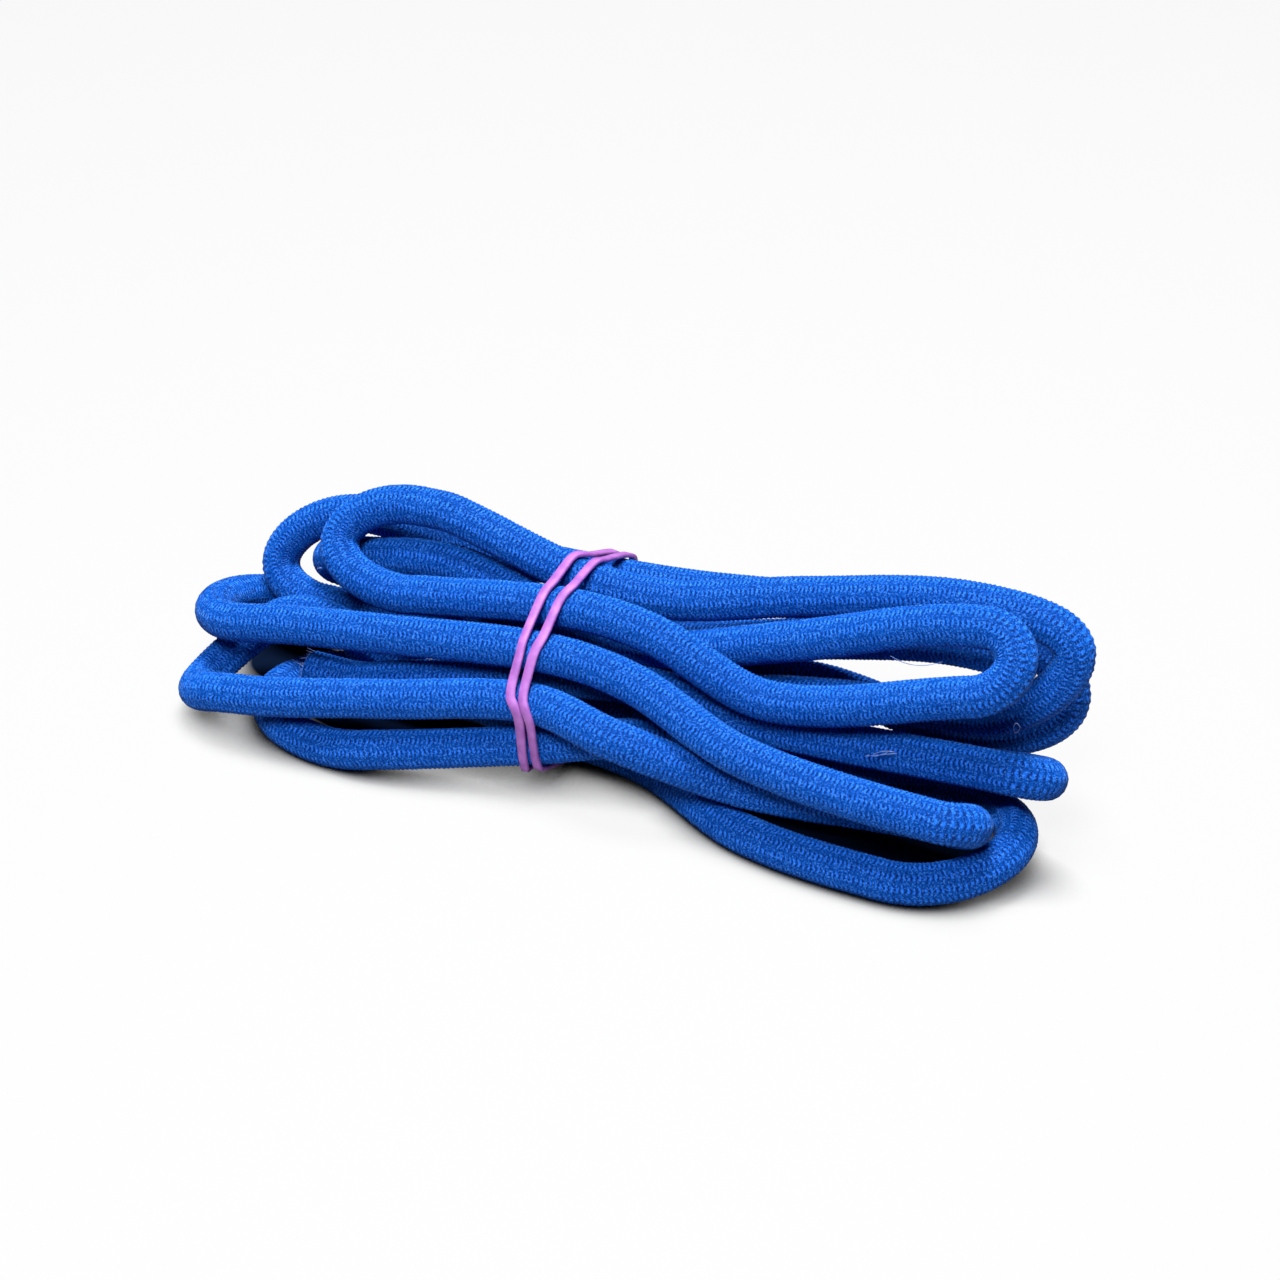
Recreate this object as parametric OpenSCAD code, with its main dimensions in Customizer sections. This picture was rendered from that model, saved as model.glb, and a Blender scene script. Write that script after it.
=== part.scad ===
// Hank of round elastic cord, tied with a rubber band.
// One unbroken cord lies back and forth in thirteen runs. A bend at the right or at the left
// joins each run to the next, and the two cut ends lie among the loops. The band goes twice
// round the whole bundle. X runs along the hank, Y across it and Z up. It lies on z = 0.

/* [Cord] */
// Outside diameter of the woven jacket
cord_d = 9; // [7:0.5:13]
// Wall of the woven jacket
jacket_wall = 1; // [0.6:0.1:1.8]
// Gap between the jacket and the rubber core
core_gap = 0.3; // [0.2:0.05:0.5]

/* [Hank] */
// Length of a middling run, between the shoulders of its two bends
run_l = 150; // [130:5:300]
// Where the band ties the hank, from the middle of that run
tie_x = -17; // [-25:1:0]

/* [Rubber band] */
// Width of the flat band
band_w = 2; // [1.5:0.1:3]
// Thickness of the band
band_t = 1; // [0.6:0.1:1.6]
// Clearance between the band and the cord that it holds
band_gap = 0.3; // [0.2:0.05:0.6]
// Bare cord between the band's two turns, where they lie side by side
turn_gap = 1.6; // [1:0.1:4]
// Lean of the band along the hank, from its lowest point to its highest
band_lean = 4; // [0:0.5:8]

/* [Hidden] */

// The tube's rings: six sides, and 24 steps to a loop, 7 in each bend and 5 in each run.
sides = 6;
bend_steps = 7;

// The depth of the flat on which the lowest loops rest, and the height of their centre line.
flat_cut = cord_d / 10;
rest_z = cord_d / 2 - flat_cut;

// Places across the hank are given for a cord of this diameter, and open out with cord_d.
laid_d = 9;
open_out = cord_d / laid_d;

// Stations along each run, as shares of run_l from the tie: the left flank, the tie, the
// crossing behind it and the right flank.
STATION_SHARES = [-0.22, 0, 0.14, 0.327];
station_x = [for (share = STATION_SHARES) tie_x + share * run_l];

// Under the tie the band passes below the lowest run and clears the ground.
ground_gap = 0.3;
tie_z = cord_d / 2 + band_gap + band_t + ground_gap;

// Every run's [y, z] at the four stations. At the tie, z counts from the lowest run.
RUNS = [
    [[-14, 16.5], [-4.8, 14.4], [-3.5, 23], [-1.2, 19.3]],
    [[-27, 6], [-17.8, 5], [-11.5, 14.8], [2.5, 8.9]],
    [[5.6, 3.6], [5.8, 0.2], [6.6, 5], [13.4, 4.6]],
    [[-4.2, 10.5], [-4.2, 0], [-4.8, 3.6], [-18.6, 3.6]],
    [[-25, 18], [-18.6, 16.2], [-21.5, 20.5], [-15.4, 12.8]],
    [[-15, 28.4], [-11.6, 24.8], [-12.5, 29.4], [-19.2, 23]],
    [[17, 12.6], [15.5, 5.4], [16.5, 13], [19, 19.2]],
    [[20.8, 31.4], [18.5, 27.8], [21, 34], [27.6, 34.2]],
    [[7, 16], [6, 10.7], [6.3, 16.4], [9.5, 21]],
    [[11, 45.1], [8.3, 32.4], [9.8, 37.6], [14.5, 43]],
    [[-2.5, 31.7], [-2.3, 31], [-3.8, 37], [-5.1, 28.3]],
    [[10, 33], [6, 21.6], [5.8, 27.6], [5.2, 37.2]],
    [[16.5, 22.1], [16, 16.9], [16.1, 24.2], [17, 31.1]]
];

// Every bend, in the order of the cord: the right one after run 0, the left one after run 1,
// and so on. [how far its shoulder lies past the middling run's end, [y, z] going in, [y, z]
// coming out, length of its nose, swing along Y and lift along Z of its tip, slope going in,
// slope coming out]. A slope is the rise over the length, counted outward from the tie.
BENDS = [
    [8.5, [-3, 23.8], [8, 17], 6.5, 0, 0.5, 0.05, 0.1],
    [-12.5, [-27.5, 3.6], [4, 3.6], 22, 0, 0, 0, 0],
    [-11, [12.5, 4], [-22, 4], 22.5, 0, 4, 0.05, 0],
    [9.5, [-2.2, 18], [-29, 12.2], 15, -3, -8.6, -0.3, -0.15],
    [-0.5, [-11, 13.4], [-20.7, 20.8], 5.9, 0, 1.2, 0, 0],
    [13, [-17, 22.9], [22, 5.6], 17.5, 0, 0.4, -0.24, 0],
    [-4.5, [19.5, 15.8], [27, 37.5], 17.5, 0, 0.5, 0.15, 0],
    [1, [20.5, 33.8], [8.8, 13.8], 22, -1, -2.8, 0, 0],
    [-6, [12.3, 25], [15, 50.6], 21.5, 0, 6, 0.1, 0.05],
    [-17, [12, 44.6], [-2, 30], 18, 0, -1, 0, 0],
    [0.1, [-4.3, 40.8], [3, 53], 7.4, 0, 1.2, 0.3, 0.1],
    [3.9, [11, 28.1], [18, 19.3], 5.6, 0, -1.1, -0.1, 0]
];

// The cut ends: how far past the middling run's end, and [y, z]. Each ends in a straight piece.
FIRST_END = [-1, [-14.3, 12.8]];
LAST_END = [4, [13, 41]];
straight_end = cord_d;

// The band: rings in one turn, the angle round the hank at which its turns cross, out of
// sight at the back, how fast they part there, the clearance of the turn on top, and the room
// between their edges from which on they lie at one height.
turn_rings = 36;
cross_angle = -30;
parting = 3;
cross_gap = 0.6;
edge_gap = turn_gap / 4;

function unit(v) = v / norm(v);

// A place across the hank, opened out with the cord and never lower than the resting loops.
function across(yz) = [yz[0] * open_out, max(yz[1] * open_out, rest_z)];
function at_tie(yz) = [yz[0] * open_out, yz[1] * open_out + tie_z];

// Side of the hank on which bend k lies: 1 is right and -1 is left.
function side_of(k) = k % 2 == 0 ? 1 : -1;

// A point of bend k at angle th, which goes from -90 coming in to 90 going out.
function bend_point(k, th) =
    let (
        b = BENDS[k],
        nose = b[3] * open_out,
        middle = (b[1] + b[2]) / 2,
        half = (b[2] - b[1]) / 2,
        slope = (b[6] * (1 - sin(th)) + b[7] * (1 + sin(th))) / 2,
        mean_slope = (b[6] + b[7]) / 2,
        bow = [b[4], b[5] - mean_slope * b[3]] * cos(th) ^ 2,
        yz = middle + half * sin(th) + bow + [0, slope * b[3] * cos(th)]
    )
    concat(side_of(k) * (run_l / 2 + b[0] + nose * cos(th)), across(yz));

function bend_points(k) =
    [for (j = [0:bend_steps]) bend_point(k, -90 + 180 * j / bend_steps)];

// The four stations of run i, from left to right.
function stations(i) = [
    concat(station_x[0], across(RUNS[i][0])),
    concat(station_x[1], at_tie(RUNS[i][1])),
    concat(station_x[2], across(RUNS[i][2])),
    concat(station_x[3], across(RUNS[i][3]))
];

function run_points(i) =
    i % 2 == 0 ? stations(i) : [for (j = [3:-1:0]) stations(i)[j]];

// A cut end and its straight piece. inward points along X, back into the hank.
function end_point(end, inward) =
    concat(-inward * (run_l / 2 + end[0]), across(end[1]));
function end_points(end, inward) =
    [end_point(end, inward), end_point(end, inward) + [inward * straight_end, 0, 0]];

last_run = len(RUNS) - 1;
last_points = end_points(LAST_END, -1);

// The whole cord's centre line, cut end to cut end.
laid_route = concat(
    end_points(FIRST_END, 1),
    [for (i = [0:last_run - 1]) each concat(run_points(i), bend_points(i))],
    run_points(last_run),
    [last_points[1], last_points[0]]
);

// The origin is on the ground, below the middle of the hank.
xs = [for (p = laid_route) p[0]];
ys = [for (p = laid_route) p[1]];
middle_xy = [(min(xs) + max(xs)) / 2, (min(ys) + max(ys)) / 2, 0];
route = [for (p = laid_route) p - middle_xy];
rings = len(route);

function tangent(line, i) = unit(line[min(i + 1, len(line) - 1)] - line[max(i - 1, 0)]);

tangents = [for (i = [0:rings - 1]) tangent(route, i)];

// A direction square to the centre line, carried along it from ring to ring without a twist.
function square_to(n, t) = unit(n - (n * t) * t);
carried = [
    for (i = 0, n = square_to([0, 0, 1], tangents[0]); i < rings;
         i = i + 1, n = i < rings ? square_to(n, tangents[i]) : n) n
];

// The tube is turned so that a flat side of it lies down on the first bend at the left.
first_left_ring = 2 + 4 + (bend_steps + 1) + 4 + floor(bend_steps / 2);
down_turn =
    let (n = carried[first_left_ring], s = cross(tangents[first_left_ring], n))
    atan2(s[2], n[2]);

// One ring of the tube at radius r. floor_z is the lowest that it may reach.
function ring(i, r, floor_z) =
    let (n = carried[i], s = cross(tangents[i], n))
    [
        for (k = [0:sides - 1])
            let (
                a = down_turn + 360 * (k + 0.5) / sides,
                p = route[i] + r * (cos(a) * n + sin(a) * s)
            )
            [p[0], p[1], max(p[2], floor_z)]
    ];

function tube_points(r, floor_z) = [for (i = [0:rings - 1]) each ring(i, r, floor_z)];

// Two triangles for each side of each step of a tube of m corners. start is its first point.
function skin(steps, m, start, flip) = [
    for (i = [0:steps - 1], k = [0:m - 1])
        let (
            a = start + i * m + k,
            b = start + i * m + (k + 1) % m,
            tri = [[a, b, a + m], [b, b + m, a + m]]
        )
        each flip ? [for (t = tri) [t[2], t[1], t[0]]] : tri
];

// The flat ring between the outer and the inner wall at one end of the jacket.
function end_wall(outer, inner, flip) = [
    for (k = [0:sides - 1])
        let (
            n = (k + 1) % sides,
            tri = [[outer + k, inner + k, outer + n], [outer + n, inner + k, inner + n]]
        )
        each flip ? [for (t = tri) [t[2], t[1], t[0]]] : tri
];

// A fan of triangles that closes one end of a solid tube.
function end_cap(start, flip) = [
    for (k = [1:sides - 2])
        flip ? [start, start + k + 1, start + k] : [start, start + k, start + k + 1]
];

// The woven jacket: one unbroken hollow tube, open at both cut ends.
module cord_sheath() {
    outer = tube_points(cord_d / 2, 0);
    inner = tube_points(cord_d / 2 - jacket_wall, jacket_wall);
    first_inner = len(outer);
    last_ring = (rings - 1) * sides;
    color("royalblue")
        polyhedron(
            concat(outer, inner),
            concat(
                skin(rings - 1, sides, 0, false),
                skin(rings - 1, sides, first_inner, true),
                end_wall(0, first_inner, false),
                end_wall(last_ring, first_inner + last_ring, true)
            )
        );
}

// The rubber strands of the core, as one solid tube all the way inside the jacket.
module rubber_core() {
    inset = jacket_wall + core_gap;
    color("ivory")
        polyhedron(
            tube_points(cord_d / 2 - inset, inset),
            concat(
                skin(rings - 1, sides, 0, false),
                end_cap(0, true),
                end_cap((rings - 1) * sides, false)
            )
        );
}

// Where run i is at x, near the tie: on the straight pieces between its first three stations.
function near_tie(i, x) =
    let (
        q = stations(i),
        k = x < tie_x ? 0 : 1,
        f = (x - q[k][0]) / (q[k + 1][0] - q[k][0])
    )
    [q[k][1], q[k][2]] * (1 - f) + [q[k + 1][1], q[k + 1][2]] * f;

// How far a run's centre reaches in the direction u, and the run that reaches furthest.
function reach(x, u) = [for (i = [0:last_run]) near_tie(i, x) * u];
function furthest(x, u) = let (r = reach(x, u)) search(max(r), r)[0];

// The band's path, for a turn angle t from 0 to 720. Its two turns lie side by side and
// cross once, where the turn on top steps out over the other.
parted = 2 * asin((band_w + edge_gap) / (band_w + turn_gap) / parting);
function crossing_step(t) =
    (band_t + cross_gap) * max(0, min(1, 2 - abs(t - 360) / parted));
function band_x(t) =
    tie_x + band_lean * (1 + sin(t + cross_angle)) / 2
    + (band_w + turn_gap) / 2 * max(-1, min(1, parting * sin(t / 2)));
function band_point(t) =
    let (
        a = t + cross_angle,
        u = [cos(a), sin(a)],
        x = band_x(t),
        r = cord_d / 2 + band_gap + band_t / 2 + crossing_step(t)
    )
    concat(x, near_tie(furthest(x, u), x) + r * u) - middle_xy;

band_rings = 2 * turn_rings;
band_step = 360 / turn_rings;

// The four corners of the band's flat section at ring j.
function band_corners(j) =
    let (
        t = j * band_step,
        a = t + cross_angle,
        p = band_point(t),
        along = unit(band_point((j + 1) * band_step) - band_point((j - 1) * band_step)),
        out = square_to([0, cos(a), sin(a)], along),
        wide = cross(along, out)
    )
    [for (c = [[-1, -1], [-1, 1], [1, 1], [1, -1]])
        p + c[0] * band_w / 2 * wide + c[1] * band_t / 2 * out];

// The rubber band: one endless strip that goes twice round the bundle.
module rubber_band() {
    corners = [for (j = [0:band_rings - 1]) each band_corners(j)];
    faces = skin(band_rings, 4, 0, false);
    color("plum")
        polyhedron(corners, [for (f = faces) [for (v = f) v % len(corners)]]);
}

// The least distance of a line of points to itself. Points closer than near steps don't count.
function least_apart(line, near) =
    min([
        for (i = [0:len(line) - 1 - near])
            min([for (j = [i + near:len(line) - 1]) norm(line[i] - line[j])])
    ]);

// Points about 2 mm apart on the cord's centre line. Two that are nearer than own_bend_l along
// the cord may lie on one bend.
sample_l = 2;
own_bend_l = 2.4 * cord_d;
function between(a, b) =
    let (n = ceil(norm(b - a) / sample_l)) [for (k = [0:n - 1]) a + (b - a) * k / n];
samples = [for (i = [0:rings - 2]) each between(route[i], route[i + 1])];
route_l = [for (i = 0, s = 0; i < rings; s = s + norm(route[min(i + 1, rings - 1)] - route[i]),
    i = i + 1) s][rings - 1];

echo(cord_length_mm = route_l);
echo(cord_least_gap_mm = least_apart(samples, ceil(own_bend_l / sample_l)) - cord_d);

// The band's two turns, from the middle of one to the middle of the other. Side by side they
// are band_w wide, and one over the other they are band_t thick.
band_samples = [for (j = [0:band_rings - 1]) band_point(j * band_step)];
echo(band_least_apart_mm = least_apart(
    [for (j = [0:band_rings - turn_rings / 4]) band_samples[j]], turn_rings / 2));

cord_sheath();
rubber_core();
rubber_band();
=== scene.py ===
# %% [markdown]
# # A hank of elastic cord, tied with a rubber band
# The object is one length of round elastic cord: a bundle of springy rubber strands inside a
# woven jacket. It is folded back and forth into a hank and tied with a rubber band, wound
# round it twice. This lesson dresses the plain solids of the CAD part. The frame comes in
# first, and its box is kept, so that the looks can be held to the size of the solids.

# %% Load the frame
import math

import bmesh
import bpy
import numpy as np
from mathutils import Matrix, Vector


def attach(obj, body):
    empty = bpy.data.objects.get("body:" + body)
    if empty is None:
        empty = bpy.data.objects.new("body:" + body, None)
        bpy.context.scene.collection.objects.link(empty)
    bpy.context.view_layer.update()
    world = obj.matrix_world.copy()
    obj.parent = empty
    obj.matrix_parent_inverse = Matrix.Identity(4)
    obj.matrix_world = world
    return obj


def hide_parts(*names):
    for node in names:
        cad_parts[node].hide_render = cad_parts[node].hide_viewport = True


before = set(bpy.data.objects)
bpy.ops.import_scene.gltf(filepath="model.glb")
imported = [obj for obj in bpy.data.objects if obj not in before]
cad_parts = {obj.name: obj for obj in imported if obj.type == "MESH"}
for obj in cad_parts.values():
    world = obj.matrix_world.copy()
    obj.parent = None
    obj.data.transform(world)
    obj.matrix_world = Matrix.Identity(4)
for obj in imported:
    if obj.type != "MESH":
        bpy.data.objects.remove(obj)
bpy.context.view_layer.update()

# %% [markdown]
# ## Units and camera
# The route of the cord was laid out in millimetres, with X along the hank. The CAD part then
# moved it, so that the origin lies below its middle. The same move is made here, in one small
# helper, so that every number below can be read against the solids. The camera looks at the
# middle of the hank from the front, a little from the right and well from above. Its lens is
# given in pixels of a square frame, which is how a view is measured, and turned into
# millimetres.

# %% Units and the camera
MM = 0.001
HANK_MIDDLE = np.array([-7.55014, -0.7, 0.0])


def laid(point):
    """A place in the hank as it was laid out, in millimetres, as metres in the frame."""
    return (np.asarray(point, float) - HANK_MIDDLE) * MM


AIM = Vector(laid((0, 0, 32)))
AZIMUTH, ELEVATION, DISTANCE = math.radians(25), math.radians(32), 0.57
SENSOR, FOCAL_PIXELS, FRAME_PIXELS = 36.0, 2680.0, 1280.0
NEAR_CLIP = 0.01

camera_data = bpy.data.cameras.new("camera")
camera_data.sensor_width = SENSOR
camera_data.lens = SENSOR * FOCAL_PIXELS / FRAME_PIXELS
camera_data.clip_start = NEAR_CLIP
camera = bpy.data.objects.new("camera", camera_data)
bpy.context.scene.collection.objects.link(camera)
outward = Vector((
    math.sin(AZIMUTH) * math.cos(ELEVATION),
    -math.cos(AZIMUTH) * math.cos(ELEVATION),
    math.sin(ELEVATION),
))
camera.location = AIM + DISTANCE * outward
camera.rotation_euler = outward.to_track_quat("Z", "Y").to_euler()
bpy.context.scene.camera = camera
print("lens:", round(camera_data.lens, 1), "mm")

# %% [markdown]
# ## The route of the cord
# A cord is drawn by the line that its middle follows. Thirteen runs lie along the hank, and
# each passes four stations: the left flank, the tie, a crossing just behind the tie, and the
# right flank. Twelve bends join them. These are the same tables as in the CAD source, with the
# same names, so the looks lie exactly on the solids.
#
# A station is a pair: how far across the hank and how far up. At the tie, up is counted from
# the middle of the lowest run there. A bend says how far past the common end of the runs it
# starts, the pair where the cord comes in, the pair where it leaves, how far its nose sticks
# out, how far it swings aside and lifts there, and the slopes of the cord at both its feet.

# %% Runs and bends
CORD_D = 9.0
REST_Z = 3.6
TIE_Z = 6.1
HALF_RUN = 75.0
STATION_X = (-50.0, -17.0, 4.0, 32.05)
RUNS = [
    [(-14, 16.5), (-4.8, 14.4), (-3.5, 23), (-1.2, 19.3)],
    [(-27, 6), (-17.8, 5), (-11.5, 14.8), (2.5, 8.9)],
    [(5.6, 3.6), (5.8, 0.2), (6.6, 5), (13.4, 4.6)],
    [(-4.2, 10.5), (-4.2, 0), (-4.8, 3.6), (-18.6, 3.6)],
    [(-25, 18), (-18.6, 16.2), (-21.5, 20.5), (-15.4, 12.8)],
    [(-15, 28.4), (-11.6, 24.8), (-12.5, 29.4), (-19.2, 23)],
    [(17, 12.6), (15.5, 5.4), (16.5, 13), (19, 19.2)],
    [(20.8, 31.4), (18.5, 27.8), (21, 34), (27.6, 34.2)],
    [(7, 16), (6, 10.7), (6.3, 16.4), (9.5, 21)],
    [(11, 45.1), (8.3, 32.4), (9.8, 37.6), (14.5, 43)],
    [(-2.5, 31.7), (-2.3, 31), (-3.8, 37), (-5.1, 28.3)],
    [(10, 33), (6, 21.6), (5.8, 27.6), (5.2, 37.2)],
    [(16.5, 22.1), (16, 16.9), (16.1, 24.2), (17, 31.1)],
]
BENDS = [
    (8.5, (-3, 23.8), (8, 17), 6.5, 0, 0.5, 0.05, 0.1),
    (-12.5, (-27.5, 3.6), (4, 3.6), 22, 0, 0, 0, 0),
    (-11, (12.5, 4), (-22, 4), 22.5, 0, 4, 0.05, 0),
    (9.5, (-2.2, 18), (-29, 12.2), 15, -3, -8.6, -0.3, -0.15),
    (-0.5, (-11, 13.4), (-20.7, 20.8), 5.9, 0, 1.2, 0, 0),
    (13, (-17, 22.9), (22, 5.6), 17.5, 0, 0.4, -0.24, 0),
    (-4.5, (19.5, 15.8), (27, 37.5), 17.5, 0, 0.5, 0.15, 0),
    (1, (20.5, 33.8), (8.8, 13.8), 22, -1, -2.8, 0, 0),
    (-6, (12.3, 25), (15, 50.6), 21.5, 0, 6, 0.1, 0.05),
    (-17, (12, 44.6), (-2, 30), 18, 0, -1, 0, 0),
    (0.1, (-4.3, 40.8), (3, 53), 7.4, 0, 1.2, 0.3, 0.1),
    (3.9, (11, 28.1), (18, 19.3), 5.6, 0, -1.1, -0.1, 0),
]
FIRST_END = (-1, (-14.3, 12.8))
LAST_END = (4, (13, 41))
STRAIGHT_END = 9.0

# %% [markdown]
# A bend is half an ellipse that may swing, lift and slope. Between its stations a run is a
# cubic curve whose slope at each station comes from the stations on both sides of it, so the
# cord never has a corner. Nothing goes lower than the loops that rest on the ground.

# %% Smooth curves through the stations
FINE = 60


def side_of(bend):
    return 1 if bend % 2 == 0 else -1


def bend_curve(bend):
    dx, way_in, way_out, nose, swing, lift, slope_in, slope_out = BENDS[bend]
    angle = np.linspace(-math.pi / 2, math.pi / 2, FINE)
    c, s = np.cos(angle), np.sin(angle)
    way_in, way_out = np.array(way_in, float), np.array(way_out, float)
    slope = (slope_in * (1 - s) + slope_out * (1 + s)) / 2
    mean_slope = (slope_in + slope_out) / 2
    x = side_of(bend) * (HALF_RUN + dx + nose * c)
    y = (way_in[0] + way_out[0]) / 2 + (way_out[0] - way_in[0]) / 2 * s + swing * c * c
    z = (way_in[1] + way_out[1]) / 2 + (way_out[1] - way_in[1]) / 2 * s
    z = z + (lift - mean_slope * nose) * c * c + slope * nose * c
    return np.stack([x, y, z], axis=1)


def run_end(run, side):
    """Where a run ends on one side of the hank, and its slope there, per step along X."""
    if (run, side) == (0, -1):
        dx, yz = FIRST_END
        return (-(HALF_RUN + dx) + STRAIGHT_END, *yz), (0, 0)
    if (run, side) == (len(RUNS) - 1, 1):
        dx, yz = LAST_END
        return (HALF_RUN + dx - STRAIGHT_END, *yz), (0, 0)
    bend = run if side_of(run) == side else run - 1
    coming_in = bend == run
    dx, way_in, way_out, nose, swing, lift, slope_in, slope_out = BENDS[bend]
    slope = slope_in if coming_in else slope_out
    return (side * (HALF_RUN + dx), *(way_in if coming_in else way_out)), (0, side * slope)


def run_curve(run):
    """A run from left to right."""
    (left, left_slope), (right, right_slope) = run_end(run, -1), run_end(run, 1)
    x = np.array([left[0], *STATION_X, right[0]])
    at_stations = np.array(RUNS[run], float)
    at_stations[1, 1] += TIE_Z
    yz = np.vstack([left[1:], at_stations, right[1:]])
    slope = np.zeros_like(yz)
    slope[0], slope[-1] = left_slope, right_slope
    slope[1:-1] = (yz[2:] - yz[:-2]) / (x[2:] - x[:-2])[:, None]
    pieces = []
    for j in range(len(x) - 1):
        t = np.linspace(0, 1, FINE, endpoint=False)[:, None]
        step = x[j + 1] - x[j]
        curve = (
            yz[j] * (2 * t**3 - 3 * t**2 + 1) + slope[j] * step * (t**3 - 2 * t**2 + t)
            + yz[j + 1] * (3 * t**2 - 2 * t**3) + slope[j + 1] * step * (t**3 - t**2)
        )
        pieces.append(np.hstack([x[j] + step * t, curve]))
    pieces.append(np.array([right]))
    return np.vstack(pieces)


run_curves = [run_curve(run) for run in range(len(RUNS))]
print("runs:", len(run_curves), "bends:", len(BENDS))

# %% [markdown]
# The pieces are joined end to end and walked at an even pace. The length of that walk is the
# real length of the cord, and the least distance between two parts of it has to stay above
# one diameter, or the cord would lie in itself. Places that are neighbours along the cord, or
# lie on one bend, don't count.

# %% Join the route and walk along it
SAMPLE_L, OWN_BEND = 2.0, 12


def joined_route():
    parts = []
    first = np.array([run_end(0, -1)[0]]) - [STRAIGHT_END, 0, 0]
    last = np.array([run_end(len(RUNS) - 1, 1)[0]]) + [STRAIGHT_END, 0, 0]
    for run, curve in enumerate(run_curves):
        parts.append(curve if side_of(run) == 1 else curve[::-1])
        if run < len(BENDS):
            parts.append(bend_curve(run)[1:-1])
    line = np.vstack([first, *parts, last])
    line[:, 2] = np.maximum(line[:, 2], REST_Z)
    return line


def distances(line):
    return np.concatenate([[0], np.cumsum(np.linalg.norm(np.diff(line, axis=0), axis=1))])


def walk(line, places):
    """The points of a line at the given distances along it."""
    along = distances(line)
    return np.stack([np.interp(places, along, line[:, k]) for k in range(3)], axis=1)


joined = joined_route()
CORD_L = distances(joined)[-1]
samples = walk(joined, np.arange(0, CORD_L, SAMPLE_L))
apart = np.linalg.norm(samples[:, None] - samples[None], axis=2)
steps_apart = np.abs(np.subtract.outer(np.arange(len(samples)), np.arange(len(samples))))
least_gap = apart[steps_apart > OWN_BEND].min() - CORD_D
print("cord:", round(CORD_L), "mm long, least gap", round(least_gap, 2), "mm")

# %% [markdown]
# ## A tube from a rolled grid
# Every long thing here is a tube: the jacket, the rubber strands, the band, the loose
# fibres. One helper makes them all. It starts from a flat grid, lays each row of it round the
# route as a ring, and welds the two long edges together. The grid brings a clean UV map with
# it, along the tube and round it, which the weave needs. A tube's ends are filled, unless it
# is looped like the band, where the last ring is welded to the first.

# %% The tube helper
def link(bm, name):
    mesh = bpy.data.meshes.new(name)
    bm.to_mesh(mesh)
    bm.free()
    for polygon in mesh.polygons:
        polygon.use_smooth = True
    obj = bpy.data.objects.new(name, mesh)
    bpy.context.scene.collection.objects.link(obj)
    return obj


def roll_tube(bm, rings, along, rows_round=1.0, ends="closed"):
    """Add a tube to bm. rings[i, k] is corner k of ring i, in metres, and along[i] is how far
    ring i lies along the tube. ends is closed, or looped for an endless tube."""
    count, corners = rings.shape[:2]
    rows = count if ends == "looped" else count - 1
    uv = bm.loops.layers.uv.get("UVMap") or bm.loops.layers.uv.new("UVMap")
    known_faces = len(bm.faces)
    grid = bmesh.ops.create_grid(bm, x_segments=corners, y_segments=rows, size=1.0)["verts"]
    where = {vert: divmod(index, corners + 1) for index, vert in enumerate(grid)}
    at_home = {place: vert for vert, place in where.items()}
    seam = {}
    for vert, (row, column) in where.items():
        home = (row % count, column % corners)
        vert.co = rings[home]
        if home != (row, column):
            seam[vert] = at_home[home]
    bm.faces.ensure_lookup_table()
    added = bm.faces[known_faces:]
    for face in added:
        for loop in face.loops:
            row, column = where[loop.vert]
            loop[uv].uv = (along[row], column / corners * rows_round)
    bmesh.ops.weld_verts(bm, targetmap=seam)
    if ends == "closed":
        rims = [e for e in {e for f in added for e in f.edges} if e.is_boundary]
        bmesh.ops.holes_fill(bm, edges=rims, sides=0)


print("a tube's ends:", "closed or looped")

# %% [markdown]
# The rings need a direction to start from. It is carried along the route and kept square to
# it, so the tube never twists suddenly. From it and the direction square to both, spokes are
# laid out to the corners of each ring. Another helper says how sharply the route bends at
# each ring, and towards which side. The pull is averaged over a few rings, so that it doesn't
# jump where a bend joins a run. The last one adds a gentle unevenness, which several pieces
# use.

# %% Frames along a route
def frames_along(points, closed=False):
    ahead = np.roll(points, -1, axis=0)
    behind = np.roll(points, 1, axis=0)
    if not closed:
        ahead[-1], behind[0] = points[-1], points[0]
    tangent = ahead - behind
    tangent /= np.linalg.norm(tangent, axis=1)[:, None]
    carried = np.zeros_like(points)
    direction = np.array([0.0, 0.0, 1.0])
    if abs(tangent[0, 2]) > 0.9:
        direction = np.array([1.0, 0.0, 0.0])
    for i, t in enumerate(tangent):
        direction = direction - np.dot(direction, t) * t
        direction = direction / np.linalg.norm(direction)
        carried[i] = direction
    return tangent, carried, np.cross(tangent, carried)


def spokes_round(up, side, corners):
    angle = 2 * math.pi * np.arange(corners) / corners
    return (np.cos(angle)[None, :, None] * up[:, None]
            + np.sin(angle)[None, :, None] * side[:, None])


def bending(points, tangent):
    """The pull towards the inside of the bend, per millimetre: one over the bend's radius."""
    step = np.linalg.norm(np.diff(points, axis=0), axis=1)
    step = np.concatenate([[step[0]], (step[1:] + step[:-1]) / 2, [step[-1]]])
    turn = np.gradient(tangent, axis=0) / np.maximum(step, 1e-6)[:, None]
    kernel = soft_window(4)
    return np.stack([np.convolve(turn[:, k], kernel, "same") for k in range(3)], axis=1)


def soft_window(reach):
    """Weights for an average over reach points on each side."""
    window = np.hanning(2 * reach + 3)[1:-1]
    return window / window.sum()


def ripple(places, *waves):
    """A gentle unevenness: waves that each have a size, a length and a start."""
    return sum(size * np.sin(places / length + start) for size, length, start in waves)


sample_pull = bending(samples, frames_along(samples)[0])
print("tightest bend: radius", round(1 / np.linalg.norm(sample_pull, axis=1).max(), 1), "mm")

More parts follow.
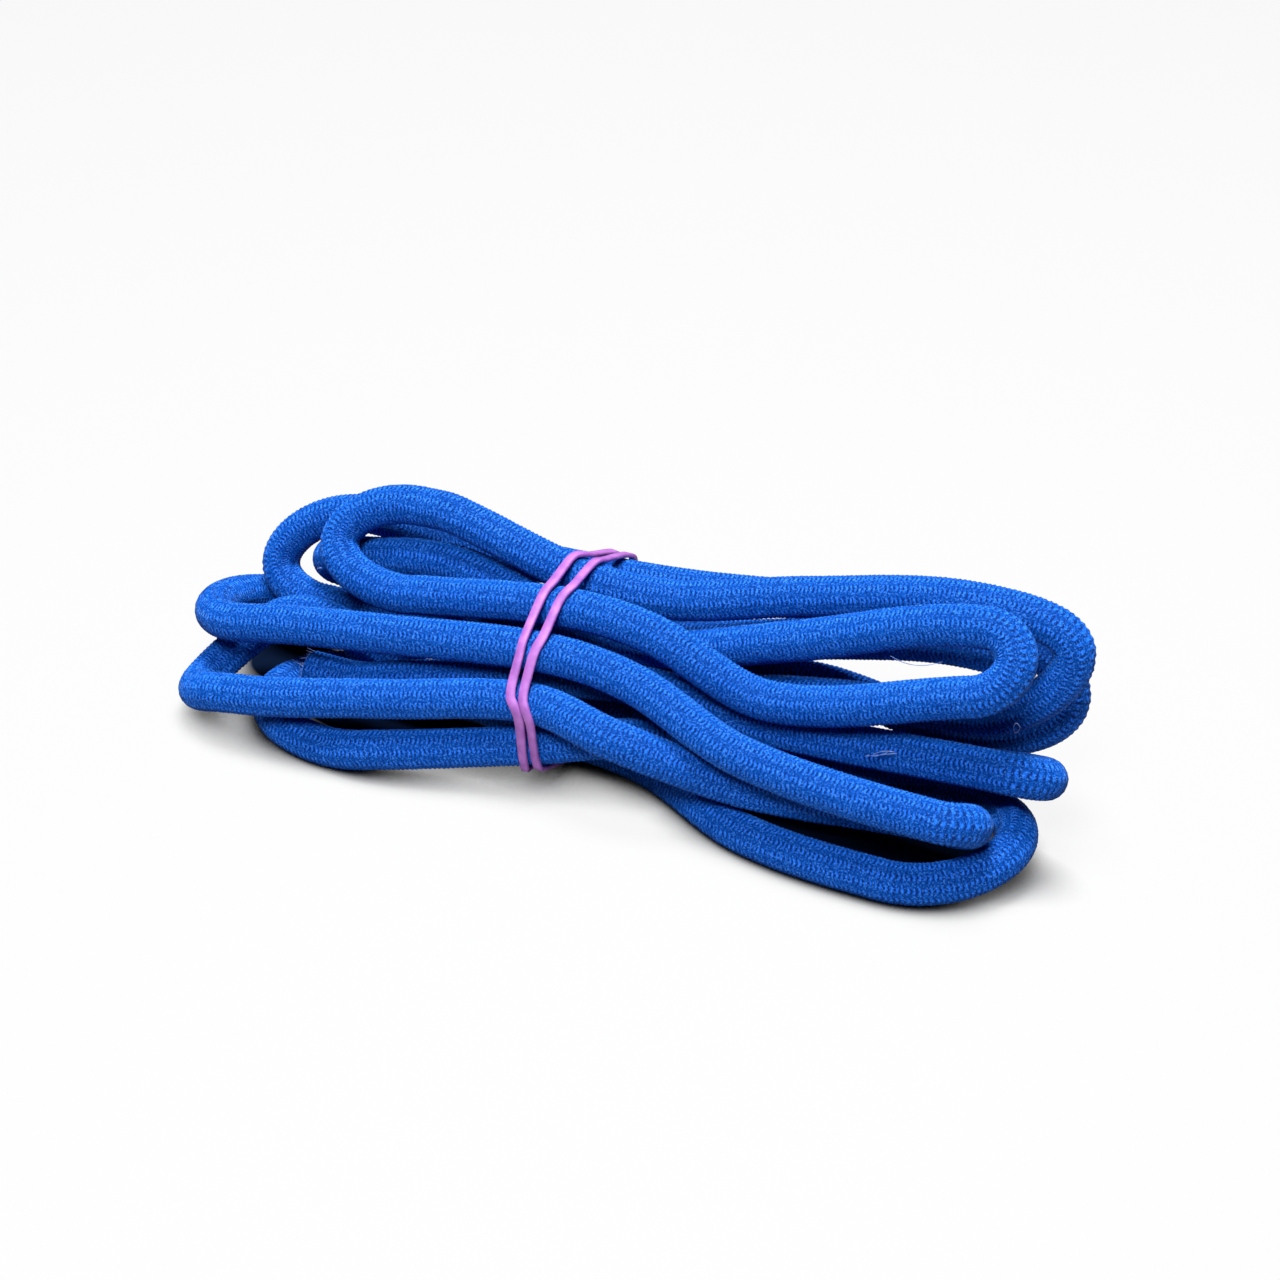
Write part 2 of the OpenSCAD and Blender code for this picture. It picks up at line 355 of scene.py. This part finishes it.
# %% [markdown]
# ## The woven jacket
# The jacket of elastic cord is woven tightly over stretched strands, so when these shrink back
# it gathers into fine cross ribs, one to the millimetre. The ribs are real relief: each has two
# rings, one on its crest and one in its valley. Every other corner of a ring lies a little
# further along the cord, so the ribs run in a zigzag, as the stitches of the weave do. In the
# bends they fan out on the outside and crowd together on the inside, with no extra work. Where
# a bend is tighter than the cord is thick, the inside is pressed flat, as the real jacket is.
# The lowest loops are pressed flat on the ground. No rib is quite as deep as the next, and the
# cord is nowhere quite as thick as it should be, which keeps it from looking machined.

# %% Rings of the jacket
RIB_PITCH = 1.02
RIB_DEPTH = 0.22
ZIGZAG = 0.2
JACKET_SIDES = 20
WALL = 1.0
PRESS_FROM, PRESS_TO = 0.7, 0.95
RIB_SHAPE = ((0.0, 1.0), (0.55, 0.0))
RIB_UNEVEN = (0.7, 1.3)
JACKET_WAVES = ((0.006, 17.0, 0.0), (0.005, 6.3, 1.0))
SKIN_IN, SKIN_FUZZ = 0.05, 0.02
rng = np.random.default_rng(7)


def pressed(offset, pull):
    """Offsets from the middle line, pressed flat on the inside of the tightest bends."""
    bend = np.linalg.norm(pull, axis=-1, keepdims=True)
    inward = pull / np.maximum(bend, 1e-9)
    depth = (offset * inward).sum(-1, keepdims=True)
    limit = PRESS_FROM / np.maximum(bend, 1e-3)
    over = np.maximum(depth - limit, 0)
    room = limit * (PRESS_TO - PRESS_FROM) / PRESS_FROM
    eased = room * np.tanh(over / np.maximum(room, 1e-6))
    return offset - inward * (over - eased)


def cord_rings(line, places, radii, zigzag):
    points = walk(line, places)
    tangent, up, side = frames_along(points)
    pull = bending(points, tangent)
    corners = radii.shape[1]
    spokes = spokes_round(up, side, corners)
    offset = pressed(spokes * radii[:, :, None], pull[:, None, :])
    to_and_fro = zigzag[:, None] * (1 - 2 * (np.arange(corners) % 2))
    rings = points[:, None, :] + offset + to_and_fro[:, :, None] * tangent[:, None]
    rings[:, :, 2] = np.maximum(rings[:, :, 2], 0.0)
    return rings


ribs = int(CORD_L / RIB_PITCH)
pitch = CORD_L / ribs
outer_places, outer_radii = [], []
for rib in range(ribs):
    depth = RIB_DEPTH * rng.uniform(*RIB_UNEVEN)
    for phase, cut in RIB_SHAPE:
        outer_places.append((rib + phase) * pitch)
        outer_radii.append(CORD_D / 2 - depth * cut)
outer_places = np.array(outer_places)
waver = 1 + ripple(outer_places, *JACKET_WAVES)
outer_radii = np.array(outer_radii) * waver - SKIN_IN
fuzz = rng.normal(0, SKIN_FUZZ, (len(outer_places), JACKET_SIDES))
outer_radii = outer_radii[:, None] + fuzz
print("ribs:", ribs, "rings:", len(outer_places))

# %% [markdown]
# At both cut ends the jacket turns inwards over a rounded lip and runs a little way back
# inside, so that its thickness shows. The lip is a short list of rings, from the innermost to
# the rim, each with its place along the cord and its radius. The zigzag fades out there.

# %% Make the jacket
INNER_R = CORD_D / 2 - WALL
INSIDE_L, CALM_L = 9.0, 0.6
LIP = ((INSIDE_L, INNER_R), (0.35, INNER_R), (0.05, INNER_R + 0.3), (0.0, CORD_D / 2 - 0.35))
lip_places = np.array([place for place, radius in LIP])
lip_radii = np.array([radius for place, radius in LIP])[:, None] * np.ones(JACKET_SIDES)
places = np.concatenate([lip_places, outer_places[1:], CORD_L - lip_places[::-1]])
radii = np.concatenate([lip_radii, outer_radii[1:], lip_radii[::-1]])
order = np.argsort(places, kind="stable")
rings = np.empty((len(places), JACKET_SIDES, 3))
zigzag = ZIGZAG * np.clip(np.minimum(places, CORD_L - places) - CALM_L, 0, 1)
rings[order] = cord_rings(joined, places[order], radii[order], zigzag[order])

bm = bmesh.new()
roll_tube(bm, laid(rings), places / pitch, JACKET_SIDES)
bmesh.ops.recalc_face_normals(bm, faces=bm.faces)
jacket = link(bm, "woven_jacket")
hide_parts("cord_sheath")
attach(jacket, "root")
print("jacket faces:", len(jacket.data.polygons))

# %% [markdown]
# ## The rubber strands
# Inside the jacket lies a bundle of thin rubber strands. Nineteen round strands pack neatly
# in rings of one, six and twelve. Only their cut faces show at the two ends, but they run all
# the way, as the real ones do, and keep the solid core of the CAD part filled.

# %% Make the strands
STRAND_R = 0.66
STRAND_SIDES = 5
STRAND_STEP = 3.4
STRAND_INSET, STRAND_FLOOR = 1.2, WALL + 0.1
INNER_REACH, OUTER_REACH = 2.02 * STRAND_R, 3.86 * STRAND_R
strand_places = np.linspace(STRAND_INSET, CORD_L - STRAND_INSET, int(CORD_L / STRAND_STEP))
strand_points = walk(joined, strand_places)
tangent, up, side = frames_along(strand_points)
pull = bending(strand_points, tangent)
spots = [(0.0, 0.0)]
spots += [(INNER_REACH, math.radians(60 * k)) for k in range(6)]
spots += [(OUTER_REACH, math.radians(30 * k + 15)) for k in range(12)]
strand_spokes = spokes_round(up, side, STRAND_SIDES)
bm = bmesh.new()
for reach, turn in spots:
    offset = reach * (math.cos(turn) * up + math.sin(turn) * side)
    middle = strand_points + pressed(offset, pull)
    middle[:, 2] = np.maximum(middle[:, 2], STRAND_FLOOR + STRAND_R)
    roll_tube(bm, laid(middle[:, None] + STRAND_R * strand_spokes), strand_places)
core = link(bm, "rubber_strands")
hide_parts("rubber_core")
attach(core, "root")
print("strands:", len(spots), "faces:", len(core.data.polygons))

# %% [markdown]
# ## Frayed ends
# Where the cord is cut, the threads of the jacket spring loose and stand out in a short tuft.
# Each fibre is a tapering three-sided tube. It starts in the thickness of the jacket, leans a
# little inwards or outwards and curls its own way, and a seed keeps the tuft the same in
# every run of the script.

# %% Make the frayed ends
FIBRES = 90
FIBRE_T, FIBRE_TAPER = 0.16, 0.75
SHORTEST, LONGEST = 0.8, 2.6


def add_thread(bm, points, thickness, taper):
    """A thin three-sided thread through the points, in millimetres."""
    tangent, up, side = frames_along(points)
    radius = thickness / 2 * (1 - taper * np.linspace(0, 1, len(points)))[:, None, None]
    rings = points[:, None] + radius * spokes_round(up, side, 3)
    roll_tube(bm, laid(rings), distances(points))


def on_jacket(obj):
    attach(obj, "root")
    return obj


def frayed_end(name, at, seed):
    draw = np.random.default_rng(seed)
    here, inner = walk(joined, [at, abs(at - 1.0)])
    away = (here - inner) / np.linalg.norm(here - inner)
    across = np.cross(away, [0, 0, 1.0])
    across /= np.linalg.norm(across)
    over = np.cross(across, away)
    bm = bmesh.new()
    for _ in range(FIBRES):
        turn = draw.uniform(0, 2 * math.pi)
        spoke = math.cos(turn) * across + math.sin(turn) * over
        root = here - away * 0.5 + spoke * draw.uniform(CORD_D / 2 - WALL, CORD_D / 2 - 0.25)
        direction = away + spoke * draw.uniform(-0.5, 0.3)
        curl = draw.normal(0, 0.35, 3) - spoke * 0.3
        length = draw.uniform(SHORTEST, LONGEST)
        t = np.linspace(0, 1, 6)[:, None]
        fibre_points = root + (direction * t + curl * t**2) * length
        add_thread(bm, fibre_points, FIBRE_T, FIBRE_TAPER)
    return on_jacket(link(bm, name))


tuft_first = frayed_end("frayed_end_first", 0.0, 3)
tuft_last = frayed_end("frayed_end_last", CORD_L, 5)
print("fibres:", 2 * FIBRES)

# %% [markdown]
# ## Stray threads
# A few threads have also come loose along the way: a long one under the last run, a small
# tuft on the first run, a ring on a right bend and a short end on the left. Each goes from
# one place on the jacket to another and bows out between them, by the third column of the
# list. The ring is two threads that bow apart.

# %% Make the stray threads
STRAY_T, STRAY_TAPER = 0.2, 0.3
STRAYS = (
    ((53.0, 9.2, 36.9), (64.5, 8.6, 38.9), (0, -0.6, -1.2)),
    ((54.2, -6.9, 22.1), (61.0, -6.6, 24.6), (0, -0.9, 0.5)),
    ((54.8, -6.8, 22.6), (59.0, -7.0, 24.4), (0, -1.3, 0.2)),
    ((56.0, -6.9, 23.0), (60.4, -6.4, 24.6), (0, -0.7, 0.9)),
    ((80.9, 7.5, 28.2), (82.3, 7.5, 28.3), (0, -0.5, 1.3)),
    ((80.9, 7.5, 28.2), (82.3, 7.5, 28.3), (0, -0.5, -1.1)),
    ((-84.6, 7.4, 24.3), (-82.8, 6.8, 25.6), (0, -0.5, 0.4)),
)
bm = bmesh.new()
for start, stop, bow in np.array(STRAYS, float):
    t = np.linspace(0, 1, 12)[:, None]
    bowed = start + (stop - start) * t + bow * 4 * t * (1 - t)
    add_thread(bm, bowed, STRAY_T, STRAY_TAPER)
strays = on_jacket(link(bm, "stray_threads"))
print("stray threads:", len(STRAYS))

# %% [markdown]
# The strands, the tufts and the stray threads go with the jacket, on the same root body.

# %% [markdown]
# ## The rubber band
# The band is cut from a thin rubber tube, so it is a flat strip. It is stretched round
# the hank twice, and a stretched band runs straight from one cord to the next, so
# its path is the outline of the bundle: at each angle it touches the run that reaches out
# furthest. The two turns cross once, out of sight at the back. In front the band has slipped
# a few millimetres along the hank, by amounts listed at a few angles. The strip rolls a
# little on its way.

# %% The path of the band
BAND_W, BAND_T, BAND_GAP = 2.0, 1.0, 0.3
TURN_GAP, CROSS_GAP, LEAN = 1.6, 0.6, 4.0
TIE_X, CROSS_ANGLE, PARTING = -17.0, -30.0, 3.0
ANGLE_STEP, BAND_STEP, BAND_EASE = 3.0, 0.5, 8
SWAY_ANGLES = (40, 66, 90, 114, 138, 162, 198, 234, 270)
RIGHT_SWAY = (0, -2.0, -3.4, -4.0, -5.2, -2.9, 0.0, 0.6, 0)
LEFT_SWAY = (0, -1.8, -4.2, -5.4, -4.6, -1.5, 1.1, 1.2, 0)


def run_at(run, x):
    along_run, across, height = run_curves[run].T
    return np.array([np.interp(x, along_run, across), np.interp(x, along_run, height)])


def crossing_step(t):
    """How far the second turn is lifted over the first, where it crosses it."""
    side_by_side = (BAND_W + TURN_GAP / 4) / (BAND_W + TURN_GAP) / PARTING
    clear_of = 2 * math.degrees(math.asin(side_by_side))
    return (BAND_T + CROSS_GAP) * max(0.0, min(1.0, 2 - abs(t - 360) / clear_of))


def band_x(t):
    swing = math.sin(math.radians(t + CROSS_ANGLE))
    turn = max(-1.0, min(1.0, PARTING * math.sin(math.radians(t / 2))))
    sway = np.interp((t + CROSS_ANGLE) % 360, SWAY_ANGLES, RIGHT_SWAY if turn > 0 else LEFT_SWAY)
    return TIE_X + LEAN * (1 + swing) / 2 + (BAND_W + TURN_GAP) / 2 * turn + sway


def band_point(t):
    angle = math.radians(t + CROSS_ANGLE)
    out = np.array([math.cos(angle), math.sin(angle)])
    x = band_x(t)
    furthest = max((run_at(run, x) for run in range(len(RUNS))), key=lambda yz: yz @ out)
    reach = CORD_D / 2 + BAND_GAP + BAND_T / 2 + crossing_step(t)
    y, z = furthest + reach * out
    return (x, y, z), (0.0, *out)


turns = [band_point(t) for t in np.arange(0, 720, ANGLE_STEP)]
band_line = np.array([p for p, out in turns])
band_out = np.array([out for p, out in turns])
loop = np.vstack([band_line, band_line[:1]])
loop_out = np.vstack([band_out, band_out[:1]])
along = distances(loop)
band_l = along[-1]
band_places = np.linspace(0, band_l, int(band_l / BAND_STEP), endpoint=False)
band_points = walk(loop, band_places)
band_x_line = band_points[:, 0]
wrapped = np.concatenate([band_x_line[-BAND_EASE:], band_x_line, band_x_line[:BAND_EASE]])
band_points[:, 0] = np.convolve(wrapped, soft_window(BAND_EASE), "valid")
band_faces = np.stack([np.interp(band_places, along, loop_out[:, k]) for k in range(3)], axis=1)
print("band:", round(band_l), "mm round twice")

# %% [markdown]
# The section of the strip is a flat bar with its corners taken off, in shares of half its
# width and half its thickness. It is swept along the path with its flat side on the cords,
# rolls a few degrees to and fro, and is a little wider in some places than in others.

# %% Make the band
SECTION = (
    (-1, -0.55), (-0.8, -1), (0.8, -1), (1, -0.55),
    (1, 0.55), (0.8, 1), (-0.8, 1), (-1, 0.55),
)
ROLL_WAVES = ((0.10, 9.0, 0.0), (0.06, 4.1, 0.0))
WIDTH_WAVES = ((0.05, 5.3, 0.0),)
tangent = frames_along(band_points, closed=True)[0]
band_faces -= (band_faces * tangent).sum(1)[:, None] * tangent
band_faces /= np.linalg.norm(band_faces, axis=1)[:, None]
band_sides = np.cross(tangent, band_faces)
roll = ripple(band_places, *ROLL_WAVES)
wide = np.cos(roll)[:, None] * band_sides + np.sin(roll)[:, None] * band_faces
thick = np.cos(roll)[:, None] * band_faces - np.sin(roll)[:, None] * band_sides
width = BAND_W / 2 * (1 + ripple(band_places, *WIDTH_WAVES))
section_w = np.array([w for w, t in SECTION])
section_t = np.array([t for w, t in SECTION])
band_rings = (
    band_points[:, None]
    + (section_w[None] * width[:, None])[:, :, None] * wide[:, None]
    + (section_t * BAND_T / 2)[None, :, None] * thick[:, None]
)
bm = bmesh.new()
roll_tube(bm, laid(band_rings), np.append(band_places, band_l), ends="looped")
bmesh.ops.recalc_face_normals(bm, faces=bm.faces)
band = link(bm, "twisted_rubber_band")
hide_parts("rubber_band")
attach(band, "root")
print("band faces:", len(band.data.polygons))

# %% [markdown]
# ## Materials
# A few helpers keep the node trees short. A tree starts as an empty material with a Principled
# shader. One helper adds a node and sets or wires its inputs, one wires a result into the
# shader, and the others are the four steps used most: a sum, a range spread from 0 to 1, a
# blend of two colours and a noise.

# %% Node helpers
def srgb(red, green, blue):
    """A colour as it is read from a screen, from 0 to 255, turned into the linear values
    that a shader works with."""
    values = [v / 255 for v in (red, green, blue)]
    return (*[v / 12.92 if v <= 0.04045 else ((v + 0.055) / 1.055) ** 2.4 for v in values], 1.0)


class Tree:
    def __init__(self, name):
        self.material = bpy.data.materials.new(name)
        self.material.use_nodes = True
        self.nodes = self.material.node_tree.nodes
        self.links = self.material.node_tree.links
        self.shader = self.nodes["Principled BSDF"]

    def node(self, kind, inputs=None, **settings):
        made = self.nodes.new(kind)
        for key, value in settings.items():
            setattr(made, key, value)
        for key, value in (inputs or {}).items():
            if isinstance(value, bpy.types.NodeSocket):
                self.links.new(value, made.inputs[key])
            else:
                made.inputs[key].default_value = value
        return made

    def math(self, operation, *values, clamp=False):
        return self.node(
            "ShaderNodeMath", dict(enumerate(values)), operation=operation, use_clamp=clamp
        ).outputs[0]

    def spread(self, value, low, high):
        """0 at low, 1 at high and even between them."""
        return self.node(
            "ShaderNodeMapRange", {"Value": value, "From Min": low, "From Max": high}
        ).outputs[0]

    def blend(self, factor, one, other):
        made = self.node("ShaderNodeMix", data_type="RGBA")
        for socket, value in ((0, factor), (6, one), (7, other)):
            if isinstance(value, bpy.types.NodeSocket):
                self.links.new(value, made.inputs[socket])
            else:
                made.inputs[socket].default_value = value
        return made.outputs[2]

    def noise(self, place, scale, detail=2.0):
        return self.node("ShaderNodeTexNoise", {
            "Vector": place, "Scale": scale, "Detail": detail})

    def into(self, socket, value):
        self.links.new(value, self.shader.inputs[socket])


print("a screen's middle grey is", round(srgb(128, 128, 128)[0], 3), "to a shader")

# %% [markdown]
# ### The weave
# The UV map of the jacket counts ribs along the cord and rows of stitches round it, so the
# fraction of U says how far a place lies from the crest of its rib, and the whole part of V
# names its row. A little noise makes both waver. Every other row carries thicker threads: the
# stitches show as short raised ticks along these rows, whose crests are painted paler as a
# painted highlight, and each valley between two ribs is painted darker as painted shade. The
# rows between them are plainer. Over them lies the grain of the yarn: dark pores and small
# bright glints, finer than the ribs; the glints are painted highlights. Woven yarn has hardly
# any gloss, and what it has is a soft blue sheen.

# %% Jacket material
weave = Tree("woven_blue_jacket")
uv = weave.node("ShaderNodeUVMap", uv_map="UVMap").outputs[0]
place = weave.node("ShaderNodeTexCoord").outputs["Object"]
wobble = weave.noise(place, 500.0).outputs["Color"]
centred = weave.node(
    "ShaderNodeVectorMath", {0: wobble, 1: (0.5, 0.5, 0.5)}, operation="SUBTRACT"
).outputs[0]
moved = weave.node(
    "ShaderNodeVectorMath", {0: centred, 1: (0.7, 0.3, 0.0), 2: uv}, operation="MULTIPLY_ADD"
).outputs[0]
counts = weave.node("ShaderNodeSeparateXYZ", {0: moved})
crest = weave.math("PINGPONG", weave.math("ADD", counts.outputs["X"], 0.5), 0.5)
tick = weave.spread(crest, 0.12, 0.38)
row = weave.math("PINGPONG", counts.outputs["Y"], 1.0)
tick_row = weave.spread(row, 0.35, 0.75)
yarn = weave.noise(place, 2600.0).outputs[0]
pores = weave.spread(yarn, 0.5, 0.37)
# The glints are painted highlights: small bright specks put into the colour of the yarn.
painted_glints = weave.spread(yarn, 0.55, 0.68)
drift = weave.noise(place, 60.0).outputs[0]

# The tick colour is a painted highlight on the stitch crests, the glint colour is painted
# highlights in the grain, and the valley colour is painted shade between the ribs and also the
# dark of the pores.
VALLEY_SHADE_AND_PORES, PAINTED_TICK_LIGHT, PAINTED_GLINT = srgb(0, 34, 104), srgb(30, 116, 236), srgb(76, 146, 238)
body = weave.blend(drift, srgb(0, 76, 172), srgb(0, 88, 192))
ticks = weave.math("MULTIPLY", tick_row, tick)
rows = weave.blend(ticks, body, PAINTED_TICK_LIGHT)
# Painted shade in the rib valleys, deeper on the tick rows.
depth = weave.math("MULTIPLY_ADD", tick_row, 0.35, 0.4)
valley_shade = weave.math("MULTIPLY", weave.math("SUBTRACT", 1.0, tick), depth)
ribbed = weave.blend(valley_shade, rows, VALLEY_SHADE_AND_PORES)
pitted = weave.blend(weave.math("MULTIPLY", pores, 0.65), ribbed, VALLEY_SHADE_AND_PORES)
weave.into("Base Color", weave.blend(weave.math("MULTIPLY", painted_glints, 0.6), pitted, PAINTED_GLINT))
height = weave.math("MULTIPLY_ADD", ticks, 0.5, weave.math("MULTIPLY", yarn, 0.6))
bump = weave.node("ShaderNodeBump", {"Height": height, "Strength": 0.8, "Distance": 0.0003})
weave.into("Normal", bump.outputs[0])
weave.shader.inputs["Roughness"].default_value = 0.85
weave.shader.inputs["Diffuse Roughness"].default_value = 1.0
weave.shader.inputs["Specular IOR Level"].default_value = 0.1
weave.shader.inputs["Sheen Weight"].default_value = 0.1
weave.shader.inputs["Sheen Roughness"].default_value = 0.3
weave.shader.inputs["Sheen Tint"].default_value = srgb(120, 175, 255)
jacket.data.materials.append(weave.material)
print("weave nodes:", len(weave.nodes))

# %% [markdown]
# ### Fibres, rubber strands and the band
# The loose fibres are the same yarn, frayed until it looks pale. The strands are natural
# rubber. The band is soft dyed rubber with a dull bloom on it: its colour is a little
# uneven, and very fine grain keeps it matt.

# %% Other materials
def plain_grain(name, dark, light, scale, roughness, grain_scale, grain):
    """A colour in uneven patches between dark and light, under a fine grain."""
    tree = Tree(name)
    place = tree.node("ShaderNodeTexCoord").outputs["Object"]
    patches = tree.spread(tree.noise(place, scale, 4.0).outputs[0], 0.3, 0.7)
    tree.into("Base Color", tree.blend(patches, dark, light))
    fine = tree.noise(place, grain_scale, 3.0).outputs[0]
    tree.into("Normal", tree.node("ShaderNodeBump", {
        "Height": fine, "Strength": grain, "Distance": 0.0002}).outputs[0])
    tree.shader.inputs["Roughness"].default_value = roughness
    return tree


fibre = plain_grain(
    "frayed_yarn", srgb(30, 100, 215), srgb(190, 210, 250), 700, 0.8, 3000, 0.2)
rubber = plain_grain(
    "natural_rubber", srgb(196, 178, 148), srgb(228, 214, 188), 400, 0.6, 2500, 0.2)
dyed = plain_grain(
    "dyed_band_rubber", srgb(140, 78, 162), srgb(170, 106, 190), 350, 0.55, 2200, 0.35)
for loose in (tuft_first, tuft_last, strays):
    loose.data.materials.append(fibre.material)
core.data.materials.append(rubber.material)
band.data.materials.append(dyed.material)
print("materials:", [m.name for m in bpy.data.materials])

# %% [markdown]
# ## Floor, world and light
# A white floor takes the shadow. Where it lies open, most of what the camera sees of it is an
# even white, so it stays bright without more light on the cord. Close under the loops, where
# the floor is hemmed in, that white fades out and the floor's colour turns to a painted dark
# navy shade. Three places that the loops box in are painted darker still with that shade:
# inside the two lowest left loops and inside the lowest right one. Each is an ellipse, given
# by its middle and its reach along the hank and across it.

# %% Floor
SHADED = (((-90, 4), (14, 12)), ((-56, -8), (34, 12)), ((54, -4), (38, 12)))
FLOOR_SIZE = 3.0
HEMMED_IN = 0.014
CAMERA_WHITE = 0.9
SHADE, FLOOR_GREY = (0.003, 0.008, 0.025, 1.0), (0.4, 0.4, 0.4, 1.0)

floor_bm = bmesh.new()
bmesh.ops.create_grid(floor_bm, x_segments=1, y_segments=1, size=FLOOR_SIZE)
floor = link(floor_bm, "floor")
ground = Tree("white_floor")
spot = ground.node("ShaderNodeTexCoord").outputs["Object"]
open_sky = ground.node(
    "ShaderNodeAmbientOcclusion", {"Distance": HEMMED_IN}, samples=12).outputs["AO"]
open_floor = ground.spread(open_sky, 0.3, 0.75)
for (x, y), (reach_x, reach_y) in SHADED:
    away = ground.node("ShaderNodeVectorMath", {
        0: spot, 1: tuple(laid((x, y, 0)))}, operation="SUBTRACT").outputs[0]
    share = ground.node("ShaderNodeVectorMath", {
        0: away, 1: (reach_x * MM, reach_y * MM, 1.0)}, operation="DIVIDE").outputs[0]
    reach = ground.node("ShaderNodeVectorMath", {0: share}, operation="LENGTH").outputs["Value"]
    open_floor = ground.math("MULTIPLY", open_floor, ground.spread(reach, 0.75, 1.3))
# Painted shade: the floor's colour goes to dark navy where the loops hem it in and inside the
# ellipses.
ground.into("Base Color", ground.blend(open_floor, SHADE, FLOOR_GREY))
ground.shader.inputs["Roughness"].default_value = 0.9
ground.shader.inputs["Specular IOR Level"].default_value = 0.0
camera_ray = ground.node("ShaderNodeLightPath").outputs["Is Camera Ray"]
white = ground.node("ShaderNodeEmission", {"Color": (1, 1, 1, 1), "Strength": 1.0}).outputs[0]
even = ground.math("MULTIPLY", ground.math("MULTIPLY", camera_ray, open_floor), CAMERA_WHITE)
mixed = ground.node("ShaderNodeMixShader", {0: even, 1: ground.shader.outputs[0], 2: white})
ground.links.new(mixed.outputs[0], ground.nodes["Material Output"].inputs[0])
floor.data.materials.append(ground.material)
print("darker places on the floor:", len(SHADED))

# %% [markdown]
# The world is dim for the light it gives and white for the camera. One wide lamp hangs
# above the hank, a little behind it, so each cord is lit on top and falls off quickly to a
# deep shadow below. A weaker lamp stands in front and keeps the shadows readable.

# %% World and lamps
WORLD_LIGHT, WORLD_SEEN = 0.03, 1.0
LAMP_SIZE = 0.3
world = bpy.data.worlds.new("studio")
world.use_nodes = True
bpy.context.scene.world = world
background = world.node_tree.nodes["Background"]
background.inputs["Color"].default_value = (0.96, 0.98, 1.0, 1)
ray = world.node_tree.nodes.new("ShaderNodeLightPath")
strength = world.node_tree.nodes.new("ShaderNodeMapRange")
strength.inputs["To Min"].default_value = WORLD_LIGHT
strength.inputs["To Max"].default_value = WORLD_SEEN
world.node_tree.links.new(ray.outputs["Is Camera Ray"], strength.inputs["Value"])
world.node_tree.links.new(strength.outputs[0], background.inputs["Strength"])


def soft_lamp(name, place, power):
    data = bpy.data.lights.new(name, "AREA")
    data.shape, data.size, data.energy = "DISK", LAMP_SIZE, power
    lamp = bpy.data.objects.new(name, data)
    lamp.location = place
    lamp.rotation_euler = (Vector(place) - AIM).to_track_quat("Z", "Y").to_euler()
    bpy.context.scene.collection.objects.link(lamp)


soft_lamp("top", (0.0, 0.05, 0.8), 10.6)
soft_lamp("front", (0.15, -0.5, 0.7), 6.2)
bpy.context.scene.view_settings.view_transform = "Standard"
print("lamps:", [lamp.name for lamp in bpy.data.lights])
